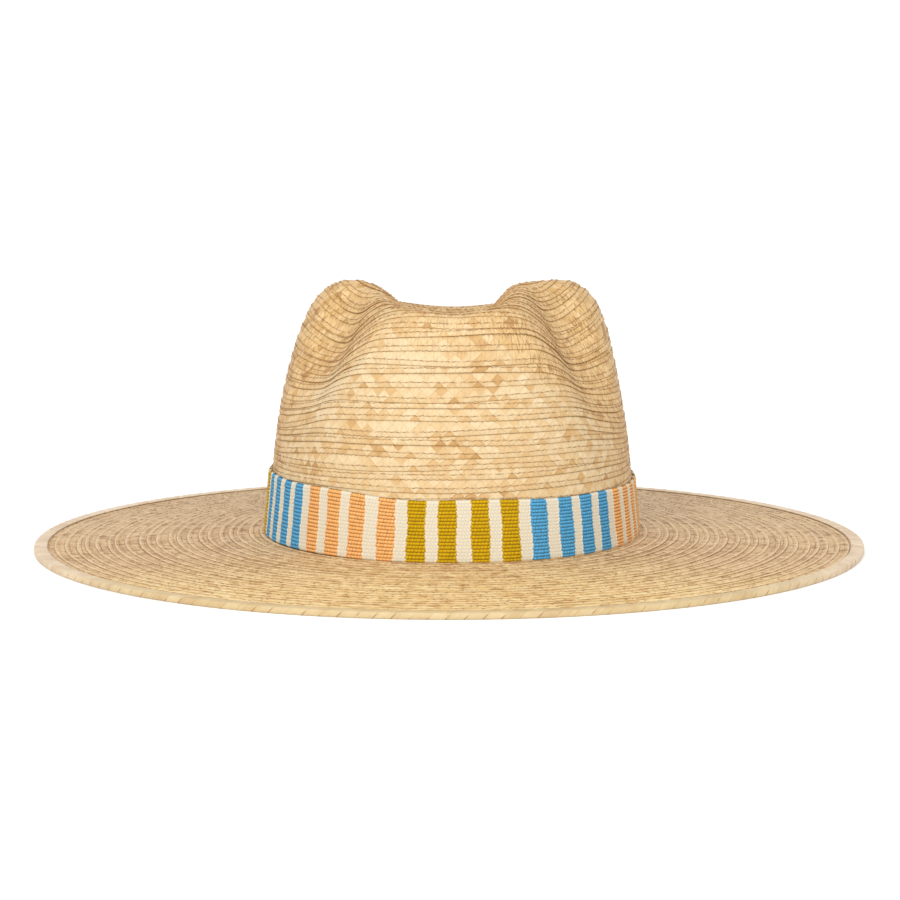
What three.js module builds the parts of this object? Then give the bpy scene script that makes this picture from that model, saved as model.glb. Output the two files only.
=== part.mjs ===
import * as THREE from 'three';

// Wide-brimmed palm leaf hat, in millimetres, +Z up, the front towards -Y.
// The brim's edge rests on the plane z = 0, and the brim's outline is centred on the Z axis.

// Driving sizes
const headHalfWidth = 82.9;
const headHalfLength = 97.2;
const ovalPower = 2.15;
const plaitThickness = 1.3;
const crownHeight = 118;
const crownShiftRight = 1.2;
const crownShiftForward = 6;
const crownLeanRight = 1.7;
const brimHalfWidth = 189.4;
const brimHalfLength = 197;
const brimFall = 6.5;
const brimFallPower = 1.3;
const bindingThickness = 0.5;
const bindingLap = 5;
const bandHeight = 27;
const bandThickness = 1.5;
const bandStandOff = 0.3;
const clearance = 0.3;

// Steps of the faceted surfaces
const angleSteps = 72;
const stepsPerSpan = 3;
const brimSteps = 6;

// The row of each crown section where the side wall ends and the top begins
const crownJoinRow = 2 * stepsPerSpan;

// Crown sections, one row for each direction round the head, from the front (0) to the back (180).
// The angles are degrees: foot where the section starts, top where it crosses the ridge.
// The other columns are shares: reach of the foot oval's radius, height of the crown's height.
const sectionColumns = ['foot', 'top', 'bendReach', 'bendHeight', 'shoulderReach', 'shoulderHeight',
  'ridgeReach', 'ridgeHeight', 'creaseReach', 'creaseHeight'];
const sectionRows = [
  [0, 0, 0.955, 0.50, 0.900, 0.905, 0.780, 0.890, 0.580, 0.79],
  [15, 13, 0.960, 0.50, 0.905, 0.915, 0.775, 0.910, 0.500, 0.79],
  [27, 24, 0.965, 0.60, 0.880, 0.870, 0.700, 0.945, 0.410, 0.80],
  [39, 37, 0.970, 0.56, 0.800, 0.790, 0.600, 0.985, 0.330, 0.81],
  [53, 52, 0.960, 0.47, 0.690, 0.730, 0.520, 1.020, 0.280, 0.81],
  [66, 67, 0.950, 0.46, 0.680, 0.790, 0.480, 1.030, 0.260, 0.80],
  [78, 79, 0.935, 0.50, 0.735, 0.920, 0.455, 1.010, 0.255, 0.79],
  [95, 94, 0.930, 0.50, 0.785, 0.960, 0.465, 0.975, 0.280, 0.78],
  [132, 130, 0.935, 0.50, 0.830, 0.890, 0.580, 0.885, 0.380, 0.77],
  [180, 180, 0.945, 0.45, 0.880, 0.805, 0.700, 0.810, 0.460, 0.75],
];
const crownSections = sectionRows.map(
  (row) => Object.fromEntries(sectionColumns.map((name, column) => [name, row[column]])));

// The right ridge lies closer to the crease than the left one and slopes more gently into it.
// The difference is greatest in one direction and fades out to both sides of it.
const rightRidgeIn = 0.08;
const rightRidgeRise = 0.02;
const rightCreaseRise = 0.07;
const rightRidgeAngle = 45;
const rightRidgeSpread = 45;

// The middle of the crown's tip, at the bottom of the crease
const tipBackShare = 0.05;
const tipHeightShare = 0.745;
const tipFlatShare = 0.35;

// Heights and outlines that follow from the driving sizes
const crownHalfWidth = headHalfWidth + plaitThickness;
const crownHalfLength = headHalfLength + plaitThickness;
const brimEdgeBottom = bindingThickness + clearance;
const brimEdgeTop = brimEdgeBottom + plaitThickness;
const brimInnerTop = brimEdgeTop + brimFall;
const crownFoot = brimInnerTop + clearance;
const crownCentre = new THREE.Vector3(crownShiftRight, -crownShiftForward, crownFoot);

const fullTurn = 360;
const columnAngles = Array.from({ length: angleSteps }, (_, index) => (index * fullTurn) / angleSteps);

// A point of an oval with a rounded-square bias: |x/a|^p + |y/b|^p = 1, angle 0 at the front
function ovalPoint(angle, halfWidth, halfLength, power) {
  const sine = Math.sin(THREE.MathUtils.degToRad(angle));
  const cosine = Math.cos(THREE.MathUtils.degToRad(angle));
  const stretch = (Math.abs(sine) ** power + Math.abs(cosine) ** power) ** (-1 / power);
  return new THREE.Vector2(halfWidth * sine * stretch, -halfLength * cosine * stretch);
}

// Smooth curve through one column of the section table, mirrored at the front and at the back.
// An angle column changes sign at the mirror, so it is odd there.
function sectionValue(angle, column, odd) {
  const rows = crownSections;
  const last = rows.length - 1;
  const sign = odd ? -1 : 1;
  const before = { foot: -rows[1].foot, value: sign * rows[1][column] };
  const afterValue = rows[last - 1][column];
  const after = { foot: fullTurn - rows[last - 1].foot, value: odd ? fullTurn - afterValue : afterValue };
  const knots = [before, ...rows.map((row) => ({ foot: row.foot, value: row[column] })), after];
  let index = 1;
  while (index < last && angle >= knots[index + 1].foot) index += 1;
  const start = knots[index];
  const end = knots[index + 1];
  const slope = (low, high) => (high.value - low.value) / (high.foot - low.foot);
  const startSlope = slope(knots[index - 1], end);
  const endSlope = slope(start, knots[index + 2]);
  const span = end.foot - start.foot;
  const share = (angle - start.foot) / span;
  const square = share * share;
  const cube = square * share;
  return (2 * cube - 3 * square + 1) * start.value + (cube - 2 * square + share) * span * startSlope
    + (3 * square - 2 * cube) * end.value + (cube - square) * span * endSlope;
}

// Uniform cubic B-spline that starts and ends on its first and last guide points
function smoothCurve(guides, steps) {
  const count = guides.length;
  const first = guides[0].clone().multiplyScalar(2).sub(guides[1]);
  const final = guides[count - 1].clone().multiplyScalar(2).sub(guides[count - 2]);
  const padded = [first, ...guides, final];
  const points = [];
  for (let span = 0; span < count - 1; span += 1) {
    for (let step = 0; step < steps; step += 1) {
      const t = step / steps;
      const weights = [(1 - t) ** 3, 3 * t ** 3 - 6 * t ** 2 + 4, -3 * t ** 3 + 3 * t ** 2 + 3 * t + 1, t ** 3];
      const point = new THREE.Vector3();
      weights.forEach((weight, offset) => point.addScaledVector(padded[span + offset], weight / 6));
      points.push(point);
    }
  }
  points.push(guides[count - 1].clone());
  return points;
}

// One section of the crown's outer surface, from the foot to the middle of the tip
function crownSection(angle, steps) {
  const mirrored = angle > fullTurn / 2;
  const foot = mirrored ? fullTurn - angle : angle;
  const value = (column) => sectionValue(foot, column, false);
  const top = sectionValue(foot, 'top', true);
  const guide = (direction, reach, height) => {
    const flat = ovalPoint(direction, crownHalfWidth * reach, crownHalfLength * reach, ovalPower);
    return new THREE.Vector3(flat.x, flat.y, crownHeight * height);
  };
  const away = Math.min(Math.abs(foot - rightRidgeAngle) / rightRidgeSpread, 1);
  const rightRidge = mirrored ? 0 : (1 + Math.cos(Math.PI * away)) / 2;
  const ridgeReach = value('ridgeReach') - rightRidgeIn * rightRidge;
  const ridgeHeight = value('ridgeHeight') + rightRidgeRise * rightRidge;
  const creaseHeight = value('creaseHeight') + rightCreaseRise * rightRidge;
  const bendReach = value('bendReach');
  const bendHeight = value('bendHeight');
  const tip = new THREE.Vector3(0, crownHalfLength * tipBackShare, crownHeight * tipHeightShare);
  const crease = guide(top, value('creaseReach'), creaseHeight);
  const nearTip = tip.clone().lerp(crease, tipFlatShare).setZ(tip.z);
  const section = smoothCurve([
    guide(foot, 1, 0),
    guide(foot, (1 + bendReach) / 2, bendHeight / 2),
    guide(foot, bendReach, bendHeight),
    guide((foot + top) / 2, value('shoulderReach'), value('shoulderHeight')),
    guide(top, ridgeReach, ridgeHeight),
    crease,
    nearTip,
    tip,
  ], steps);
  if (mirrored) section.forEach((point) => point.setX(-point.x));
  section.forEach((point) => {
    point.x += crownLeanRight * THREE.MathUtils.smoothstep(point.z, crownHeight / 2, crownHeight);
  });
  return section.map((point) => point.add(crownCentre));
}

// Outward normals of a grid of columns, each column listed upwards and the columns counter-clockwise
function gridNormals(columns) {
  return columns.map((column, index) => {
    const next = columns[(index + 1) % columns.length];
    const previous = columns[(index + columns.length - 1) % columns.length];
    return column.map((point, row) => {
      const up = column[Math.min(row + 1, column.length - 1)].clone().sub(column[Math.max(row - 1, 0)]);
      const along = next[row].clone().sub(previous[row]);
      return along.cross(up).normalize();
    });
  });
}

// Closed mesh from columns that are closed loops of points: a ring with any section
function ringMesh(columns) {
  const rows = columns[0].length;
  const positions = columns.flat().flatMap((point) => [point.x, point.y, point.z]);
  const faces = [];
  columns.forEach((_, index) => {
    const next = (index + 1) % columns.length;
    for (let row = 0; row < rows; row += 1) {
      const above = (row + 1) % rows;
      const corners = [index * rows + row, next * rows + row, next * rows + above, index * rows + above];
      faces.push(corners[0], corners[1], corners[2], corners[0], corners[2], corners[3]);
    }
  });
  return meshGeometry(positions, faces);
}

function meshGeometry(positions, faces) {
  const geometry = new THREE.BufferGeometry();
  geometry.setAttribute('position', new THREE.Float32BufferAttribute(positions, 3));
  geometry.setIndex(faces);
  geometry.computeVertexNormals();
  return geometry;
}

// Outer and inner skin of the whole crown, as columns of points from the foot towards the tip
function crownSkins() {
  const outer = columnAngles.map((angle) => crownSection(angle, stepsPerSpan));
  const normals = gridNormals(outer);
  const rows = outer[0].length - 1;
  const inner = outer.map((column, index) => column.slice(0, rows).map((point, row) => {
    const moved = point.clone().addScaledVector(normals[index][row], -plaitThickness);
    return row === 0 ? moved.setZ(point.z) : moved;
  }));
  return { outer: outer.map((column) => column.slice(0, rows)), inner, tip: outer[0][rows] };
}

// The crown's side wall, from the foot up to the row where the top begins
function crownSideGeometry() {
  const { outer, inner } = crownSkins();
  const wallRows = (column) => column.slice(0, crownJoinRow + 1);
  return ringMesh(outer.map((column, index) => [...wallRows(column), ...wallRows(inner[index]).reverse()]));
}

// The crown's top with its crease and pinches: a shell with a flat rim below, closed at the tip
function crownTopGeometry() {
  const { outer, inner, tip } = crownSkins();
  const topRows = (column) => {
    const kept = column.slice(crownJoinRow).map((point) => point.clone());
    kept[0].lerp(kept[1], clearance / kept[0].distanceTo(kept[1]));
    return kept;
  };
  const skins = [...outer.map(topRows), ...inner.map(topRows)];
  const rows = skins[0].length;
  const innerTip = tip.clone().setZ(tip.z - plaitThickness);
  const positions = [...skins.flat(), tip, innerTip].flatMap((point) => [point.x, point.y, point.z]);
  const vertex = (skin, index, row) => (skin * angleSteps + (index % angleSteps)) * rows + row;
  const tipVertex = 2 * angleSteps * rows;
  const faces = [];
  for (let index = 0; index < angleSteps; index += 1) {
    for (let row = 0; row < rows - 1; row += 1) {
      const [a, b] = [vertex(0, index, row), vertex(0, index + 1, row)];
      const [c, d] = [vertex(0, index + 1, row + 1), vertex(0, index, row + 1)];
      faces.push(a, b, c, a, c, d);
      const [e, f] = [vertex(1, index, row), vertex(1, index + 1, row)];
      const [g, h] = [vertex(1, index + 1, row + 1), vertex(1, index, row + 1)];
      faces.push(e, g, f, e, h, g);
    }
    faces.push(vertex(0, index, rows - 1), vertex(0, index + 1, rows - 1), tipVertex);
    faces.push(vertex(1, index, rows - 1), tipVertex + 1, vertex(1, index + 1, rows - 1));
    const [outerRim, outerNext] = [vertex(0, index, 0), vertex(0, index + 1, 0)];
    const [innerRim, innerNext] = [vertex(1, index, 0), vertex(1, index + 1, 0)];
    faces.push(outerRim, innerRim, innerNext, outerRim, innerNext, outerNext);
  }
  return meshGeometry(positions, faces);
}

// A point on the brim's top side: share 0 at the head opening, 1 at the outer edge
function brimPoint(angle, share, halfWidth, halfLength) {
  const hole = ovalPoint(angle, headHalfWidth, headHalfLength, ovalPower);
  const edge = ovalPoint(angle, halfWidth, halfLength, 2);
  const height = brimEdgeTop + brimFall * (1 - share) ** brimFallPower;
  return new THREE.Vector3(
    THREE.MathUtils.lerp(hole.x + crownCentre.x, edge.x, share),
    THREE.MathUtils.lerp(hole.y + crownCentre.y, edge.y, share),
    height,
  );
}

function brimGeometry() {
  const columns = columnAngles.map((angle) => {
    const top = Array.from({ length: brimSteps + 1 },
      (_, step) => brimPoint(angle, step / brimSteps, brimHalfWidth, brimHalfLength));
    const bottom = top.map((point) => point.clone().setZ(point.z - plaitThickness));
    return [...bottom, ...top.reverse()];
  });
  return ringMesh(columns);
}

// The binding lies flat on the brim's edge, so it follows the brim's small fall across its lap
function bindingGeometry() {
  const columns = columnAngles.map((angle) => {
    const edge = ovalPoint(angle, brimHalfWidth, brimHalfLength, 2);
    const outward = new THREE.Vector2(edge.x / brimHalfWidth ** 2, edge.y / brimHalfLength ** 2).normalize();
    const place = (distance, height) => new THREE.Vector3(
      edge.x + outward.x * distance, edge.y + outward.y * distance, height);
    const lapShare = 1 - bindingLap / (brimHalfWidth - headHalfWidth);
    const lapRise = brimFall * (1 - lapShare) ** brimFallPower;
    const upper = brimEdgeTop + clearance;
    const lower = brimEdgeBottom - clearance;
    const outside = clearance + bindingThickness;
    return [
      place(-bindingLap, 0),
      place(outside - bindingThickness / 2, 0),
      place(outside, bindingThickness / 2),
      place(outside, upper + bindingThickness / 2),
      place(outside - bindingThickness / 2, upper + bindingThickness),
      place(-bindingLap, upper + bindingThickness + lapRise),
      place(-bindingLap, upper + lapRise),
      place(clearance, upper),
      place(clearance, lower),
      place(-bindingLap, lower),
    ];
  });
  return ringMesh(columns);
}

// The hatband is tight at its lower edge and stands a little off the crown at its upper edge
function bandGeometry() {
  const outer = columnAngles.map((angle) => crownSection(angle, stepsPerSpan));
  const normals = gridNormals(outer);
  const wallRows = 2 * stepsPerSpan + 1;
  const bottom = crownFoot;
  const heights = [0, 1 / 3, 2 / 3, 1].map((share) => bottom + bandHeight * share);
  const columns = outer.map((column, index) => {
    const place = (height, distance) => {
      let row = 1;
      while (row < wallRows && column[row].z < height) row += 1;
      const share = (height - column[row - 1].z) / (column[row].z - column[row - 1].z);
      const point = column[row - 1].clone().lerp(column[row], share);
      const normal = normals[index][row - 1].clone().lerp(normals[index][row], share).setZ(0).normalize();
      return point.addScaledVector(normal, distance).setZ(height);
    };
    const gap = (height) => clearance + bandStandOff * ((height - bottom) / bandHeight) ** 2;
    const outside = heights.map((height) => place(height, gap(height) + bandThickness));
    const inside = heights.map((height) => place(height, gap(height)));
    return [...outside, ...inside.reverse()];
  });
  return ringMesh(columns);
}

const palmPale = new THREE.MeshStandardMaterial({ color: 0xe2c391, roughness: 0.7, metalness: 0 });
const palmTan = new THREE.MeshStandardMaterial({ color: 0xcfa870, roughness: 0.72, metalness: 0 });
const palmStrip = new THREE.MeshStandardMaterial({ color: 0xead3a4, roughness: 0.6, metalness: 0 });
const cottonCream = new THREE.MeshStandardMaterial({ color: 0xf1e6cf, roughness: 0.9, metalness: 0 });

function namedMesh(name, geometry, material) {
  const mesh = new THREE.Mesh(geometry, material);
  mesh.name = name;
  return mesh;
}

const hat = new THREE.Group();
hat.name = 'palm_leaf_hat';
hat.add(namedMesh('crown_side', crownSideGeometry(), palmPale));
hat.add(namedMesh('crown_top', crownTopGeometry(), palmPale));
hat.add(namedMesh('brim', brimGeometry(), palmTan));
hat.add(namedMesh('edge_binding', bindingGeometry(), palmStrip));
hat.add(namedMesh('hatband', bandGeometry(), cottonCream));

export default hat;
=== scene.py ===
# %% [markdown]
# A palm leaf hat, seen from the front: a teardrop crown with two pinches, a wide brim with a bound
# edge, and a striped woven band. The real hat is one long plait of palm leaf strips, laid in a spiral
# and sewn to itself row by row. This lesson makes it the same way: first the plain surfaces that the
# rows lie on, then a ribbon carried round them, then the stitches, the binding and the band.

# %% Load the measured frame
import math
from functools import partialmethod
import bpy
import numpy as np
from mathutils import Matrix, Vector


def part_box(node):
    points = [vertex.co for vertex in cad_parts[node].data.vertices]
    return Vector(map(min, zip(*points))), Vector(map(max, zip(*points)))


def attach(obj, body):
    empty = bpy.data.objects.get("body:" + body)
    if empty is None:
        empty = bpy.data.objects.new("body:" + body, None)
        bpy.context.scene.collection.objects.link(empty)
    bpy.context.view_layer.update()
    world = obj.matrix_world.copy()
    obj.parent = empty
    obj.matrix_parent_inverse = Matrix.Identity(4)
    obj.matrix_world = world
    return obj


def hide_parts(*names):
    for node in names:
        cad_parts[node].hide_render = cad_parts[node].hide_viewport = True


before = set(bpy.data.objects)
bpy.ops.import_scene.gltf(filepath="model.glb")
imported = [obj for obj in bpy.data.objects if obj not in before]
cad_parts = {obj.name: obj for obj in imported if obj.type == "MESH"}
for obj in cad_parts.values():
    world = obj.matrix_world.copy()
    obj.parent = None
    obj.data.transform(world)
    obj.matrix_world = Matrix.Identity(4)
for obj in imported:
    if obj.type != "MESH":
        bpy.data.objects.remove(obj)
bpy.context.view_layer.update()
MM = 0.001
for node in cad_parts:
    low, high = (np.array(corner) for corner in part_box(node))
    print(node, "from", low.round(4), "to", high.round(4))

# %% [markdown]
# The camera looks from the front and a little from above, through a long lens, so the far edge of the
# brim shows as a thin curve behind the crown. Its height, distance and lens follow from the two
# ellipses that the picture shows: the brim's edge and the lower edge of the band. A long lens far away
# keeps the crown's sides nearly parallel, as in a catalogue picture.

# %% Place the camera
CAMERA_TILT = math.radians(7.38)
CAMERA_DISTANCE = 1.600
CAMERA_TARGET = np.array([0.0004, 0.0, 0.0439])
LENS = 139.0


def show(name, data):
    """Puts a new object with the given data into the scene."""
    made = bpy.data.objects.new(name, data)
    bpy.context.scene.collection.objects.link(made)
    return made


look = np.array([0.0, math.cos(CAMERA_TILT), -math.sin(CAMERA_TILT)])
camera_data = bpy.data.cameras.new("front_camera")
camera_data.lens = LENS
camera_data.sensor_width = 36.0
camera_data.clip_start = 0.05
camera_data.clip_end = 100.0
camera = show("front_camera", camera_data)
camera.location = CAMERA_TARGET - look * CAMERA_DISTANCE
camera.rotation_euler = (math.pi / 2 - CAMERA_TILT, 0.0, 0.0)
bpy.context.scene.camera = camera
print("camera at", [round(value, 3) for value in camera.location])

# %% [markdown]
# A node tree is easier to read as a formula than as a row of single calls. The small pen below adds
# nodes to a tree and joins them, so a material further down can be written line by line, each line
# one step of the pattern.

# %% A pen for node trees
def linear(red, green, blue):
    """Scene colour of a screen colour 0 to 255: each share s becomes ((s + 0.055) / 1.055) ** 2.4."""
    share = np.array([red, green, blue]) / 255.0
    low, high = share / 12.92, ((share + 0.055) / 1.055) ** 2.4
    return tuple(float(value) for value in np.where(share <= 0.04045, low, high)) + (1.0,)


class NodePen:
    """Adds nodes to one tree and joins each input to a value or to another node's output."""

    def __init__(self, tree):
        self.tree = tree

    def node(self, kind, inputs=(), **settings):
        made = self.tree.nodes.new(kind)
        for name, value in settings.items():
            setattr(made, name, value)
        for key, value in dict(inputs).items():
            self.feed(made.inputs[key], value)
        return made

    def feed(self, socket, value):
        if isinstance(value, bpy.types.NodeSocket):
            self.tree.links.new(value, socket)
        else:
            socket.default_value = value

    def group(self, tree, **inputs):
        """Outputs of a shader group whose inputs are fed by name."""
        return self.node("ShaderNodeGroup", inputs, node_tree=tree).outputs

    def reckon(self, operation, *values, clamp=False):
        """One step of arithmetic. The short names below are the steps used most: size drops the sign,
        whole and rest are the parts before and after the point."""
        made = self.node("ShaderNodeMath", operation=operation, use_clamp=clamp)
        for socket, value in zip(made.inputs, values):
            self.feed(socket, value)
        return made.outputs[0]

    plus = partialmethod(reckon, "ADD")
    minus = partialmethod(reckon, "SUBTRACT")
    times = partialmethod(reckon, "MULTIPLY")
    divided = partialmethod(reckon, "DIVIDE")
    whole = partialmethod(reckon, "FLOOR")
    rest = partialmethod(reckon, "FRACT")
    size = partialmethod(reckon, "ABSOLUTE")
    sine = partialmethod(reckon, "SINE")

    def weighed(self, first, first_factor, second, second_factor):
        """Sum of two values, each times its own factor."""
        return self.plus(self.times(first, first_factor), self.times(second, second_factor))

    def to_end(self, part):
        """Distance of a share from the nearer of 0 and 1."""
        return self.reckon("MINIMUM", part, self.minus(1.0, part))

    def choose(self, share, low, high):
        """low where share is 0, high where it is 1."""
        made = self.node("ShaderNodeMix", {0: share, 2: low, 3: high}, data_type="FLOAT")
        return made.outputs[0]

    def mix(self, share, low, high, blend="MIX"):
        """Colour between low and high."""
        made = self.node("ShaderNodeMix", {0: share, 6: low, 7: high}, data_type="RGBA", blend_type=blend)
        return made.outputs[2]

    def ramp(self, value, start, end, low=0.0, high=1.0):
        """Soft step from low to high as value goes from start to end."""
        made = self.node("ShaderNodeMapRange", {0: value, 1: start, 2: end, 3: low, 4: high},
                         interpolation_type="SMOOTHSTEP")
        return made.outputs[0]

    def vector(self, x=0.0, y=0.0, z=0.0):
        return self.node("ShaderNodeCombineXYZ", {0: x, 1: y, 2: z}).outputs[0]

    def noise(self, vector, scale, detail=2.0, roughness=0.5):
        inputs = {"Vector": vector, "Scale": scale, "Detail": detail, "Roughness": roughness}
        return self.node("ShaderNodeTexNoise", inputs).outputs["Fac"]

    def streaks(self, along, across, along_scale, across_scale, detail=2.0, roughness=0.5):
        """Noise drawn out along one direction: each scale is in waves per metre."""
        stretched = self.vector(self.times(along, along_scale), self.times(across, across_scale))
        return self.noise(stretched, 1.0, detail, roughness)

    def random(self, *parts):
        """One number from 0 to 1 for each set of up to three whole numbers."""
        return self.node("ShaderNodeTexWhiteNoise", {"Vector": self.vector(*parts)}).outputs["Value"]

    def shade(self, colour, tone):
        """Colour times a grey tone."""
        grey = self.node("ShaderNodeCombineColor", {0: tone, 1: tone, 2: tone}).outputs[0]
        return self.mix(1.0, colour, grey, "MULTIPLY")

    def palette(self, value, stops):
        """Colour ramp: stops lists (place, colour)."""
        made = self.node("ShaderNodeValToRGB", {0: value})
        elements = made.color_ramp.elements
        while len(elements) < len(stops):
            elements.new(0.5)
        for element, (place, colour) in zip(elements, stops):
            element.position = place
            element.color = colour
        return made.outputs[0]


def new_group(name, inputs, outputs):
    """An empty shader group of float sockets, from {input: start value} and a list of outputs.

    Returns the group, its pen, the values it is given and the sockets of its results."""
    tree = bpy.data.node_groups.new(name, "ShaderNodeTree")
    for socket_name, value in inputs.items():
        socket = tree.interface.new_socket(socket_name, in_out="INPUT", socket_type="NodeSocketFloat")
        socket.default_value = value
    for socket_name in outputs:
        tree.interface.new_socket(socket_name, in_out="OUTPUT", socket_type="NodeSocketFloat")
    pen = NodePen(tree)
    return tree, pen, pen.node("NodeGroupInput").outputs, pen.node("NodeGroupOutput").inputs


def new_material(name, uv_name=None):
    """A material with a plain Principled shader: returns it, its pen, the shader, and u and v."""
    material = bpy.data.materials.new(name)
    material.use_nodes = True
    tree = material.node_tree
    shader = tree.nodes["Principled BSDF"]
    pen = NodePen(tree)
    if uv_name is None:
        return material, pen, shader, None, None
    uv = pen.node("ShaderNodeUVMap", uv_map=uv_name).outputs[0]
    place = pen.node("ShaderNodeSeparateXYZ", {0: uv}).outputs
    return material, pen, shader, place[0], place[1]


def object_place(pen):
    """The place on the object in metres, as one vector and as its three parts."""
    place = pen.node("ShaderNodeTexCoord").outputs["Object"]
    return place, pen.node("ShaderNodeSeparateXYZ", {0: place}).outputs


def finish_shader(pen, shader, colour, roughness, specular, relief, strength, depth):
    """Joins colour and roughness, sets the gloss, and adds a bump of relief with a depth in metres."""
    pen.feed(shader.inputs["Base Color"], colour)
    pen.feed(shader.inputs["Roughness"], roughness)
    shader.inputs["Specular IOR Level"].default_value = specular
    bump = pen.node("ShaderNodeBump", {"Strength": strength, "Distance": depth, "Height": relief})
    pen.feed(shader.inputs["Normal"], bump.outputs[0])


print("node pen ready")

# %% [markdown]
# Light and floor. The picture is a studio shot on white: one broad soft light from the front and
# above, white all round it, and hardly a shadow. A pale matt floor, a white sky and one far, wide sun
# give that. The sun lights the whole floor alike, where a lamp alone would leave the far floor grey. It
# stands a little left of the camera, so the nose of the crown is the brightest place and both sides
# fall off gently. One soft lamp near the camera adds the small difference between near and far leaf.
# The sky is a little brighter to the camera than to the hat, so the page behind stays white.

# %% Floor, sky and sun
FLOOR_HALF = 60.0
FLOOR_COLOUR, FLOOR_ROUGHNESS = linear(247, 246, 245), 0.9
SKY_STRENGTH, SKY_SEEN = 0.97, 1.05
SUN_STRENGTH = 1.22
SUN_WIDTH = math.radians(55.0)
SUN_HEIGHT, SUN_LEFT = math.radians(36.0), math.radians(11.0)
LAMP_PLACE = (-0.15, -1.35, 0.75)
LAMP_SIZE, LAMP_POWER = 0.8, 4.5

floor_mesh = bpy.data.meshes.new("floor")
corners = [(x * FLOOR_HALF, y * FLOOR_HALF, 0) for x, y in ((-1, -1), (1, -1), (1, 1), (-1, 1))]
floor_mesh.from_pydata(corners, [], [(0, 1, 2, 3)])
floor = show("floor", floor_mesh)
floor_material, pen, shader, _, _ = new_material("pale_floor")
shader.inputs["Base Color"].default_value = FLOOR_COLOUR
shader.inputs["Roughness"].default_value = FLOOR_ROUGHNESS
floor_mesh.materials.append(floor_material)

sky = bpy.data.worlds.new("white_studio")
sky.use_nodes = True
background = sky.node_tree.nodes["Background"].inputs
background["Color"].default_value = (1.0, 1.0, 1.0, 1.0)
pen = NodePen(sky.node_tree)
seen = pen.node("ShaderNodeLightPath").outputs["Is Camera Ray"]
pen.feed(background["Strength"], pen.choose(seen, SKY_STRENGTH, SKY_SEEN))
bpy.context.scene.world = sky
bpy.context.scene.view_settings.view_transform = "Standard"

sun_data = bpy.data.lights.new("wide_sun", "SUN")
sun_data.energy = SUN_STRENGTH
sun_data.angle = SUN_WIDTH
sun = show("wide_sun", sun_data)
sun.rotation_euler = (math.pi / 2 - SUN_HEIGHT, 0.0, -SUN_LEFT)

lamp_data = bpy.data.lights.new("front_softbox", "AREA")
lamp_data.size = LAMP_SIZE
lamp_data.energy = LAMP_POWER
lamp = show("front_softbox", lamp_data)
lamp.location = LAMP_PLACE
lamp.rotation_euler = (math.atan2(math.hypot(*LAMP_PLACE[:2]), LAMP_PLACE[2]), 0.0,
                       math.atan2(LAMP_PLACE[0], -LAMP_PLACE[1]))
print("studio ready")

# %% [markdown]
# The crown's surface. A blocked hat starts as a dome that is pressed over a wooden form: a teardrop
# hollow in the tip, and a pinch on each side of the front. Each direction round the head gets one
# guide line from the foot to the middle of the tip, and a smooth curve follows it. The table is the
# one that the solid model was made from, so the plait lies exactly where that says. The alternative,
# sculpting a dome by hand, would not repeat the same sizes.

# %% Outline and sections of the crown
CROWN_HALF = np.array([84.2, 98.5]) * MM
CROWN_HEIGHT = 118.0 * MM
CROWN_FOOT = np.array([1.2, -6.0, 8.9]) * MM
CROWN_LEAN = 1.7 * MM
OVAL_POWER = 2.15
TIP_BACK, TIP_HEIGHT, TIP_FLAT = 0.05, 0.745, 0.35
RIGHT_RIDGE_IN, RIGHT_RIDGE_RISE, RIGHT_CREASE_RISE = 0.08, 0.02, 0.07
RIGHT_RIDGE_ANGLE, RIGHT_RIDGE_SPREAD = 45.0, 45.0
SECTION_COLUMNS = ("top", "bend_reach", "bend_height", "shoulder_reach", "shoulder_height",
                   "ridge_reach", "ridge_height", "crease_reach", "crease_height")
SECTION_FEET = np.array([0, 15, 27, 39, 53, 66, 78, 95, 132, 180], float)
SECTION_VALUES = np.array([
    [0, 0.955, 0.50, 0.900, 0.905, 0.780, 0.890, 0.580, 0.79],
    [13, 0.960, 0.50, 0.905, 0.915, 0.775, 0.910, 0.500, 0.79],
    [24, 0.965, 0.60, 0.880, 0.870, 0.700, 0.945, 0.410, 0.80],
    [37, 0.970, 0.56, 0.800, 0.790, 0.600, 0.985, 0.330, 0.81],
    [52, 0.960, 0.47, 0.690, 0.730, 0.520, 1.020, 0.280, 0.81],
    [67, 0.950, 0.46, 0.680, 0.790, 0.480, 1.030, 0.260, 0.80],
    [79, 0.935, 0.50, 0.735, 0.920, 0.455, 1.010, 0.255, 0.79],
    [94, 0.930, 0.50, 0.785, 0.960, 0.465, 0.975, 0.280, 0.78],
    [130, 0.935, 0.50, 0.830, 0.890, 0.580, 0.885, 0.380, 0.77],
    [180, 0.945, 0.45, 0.880, 0.805, 0.700, 0.810, 0.460, 0.75],
])


def soft_step(value):
    """0 below 0, 1 above 1, and 3 s ** 2 - 2 s ** 3 between."""
    share = np.clip(value, 0.0, 1.0)
    return share * share * (3 - 2 * share)


def oval(degrees, half_width, half_length, power):
    """Point of |x / a| ** p + |y / b| ** p = 1 in a direction; 0 degrees is the front, towards -Y."""
    turn = np.radians(degrees)
    sine, cosine = np.sin(turn), np.cos(turn)
    reach = (np.abs(sine) ** power + np.abs(cosine) ** power) ** (-1.0 / power)
    return np.stack([half_width * sine * reach, -half_length * cosine * reach], -1)


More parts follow.
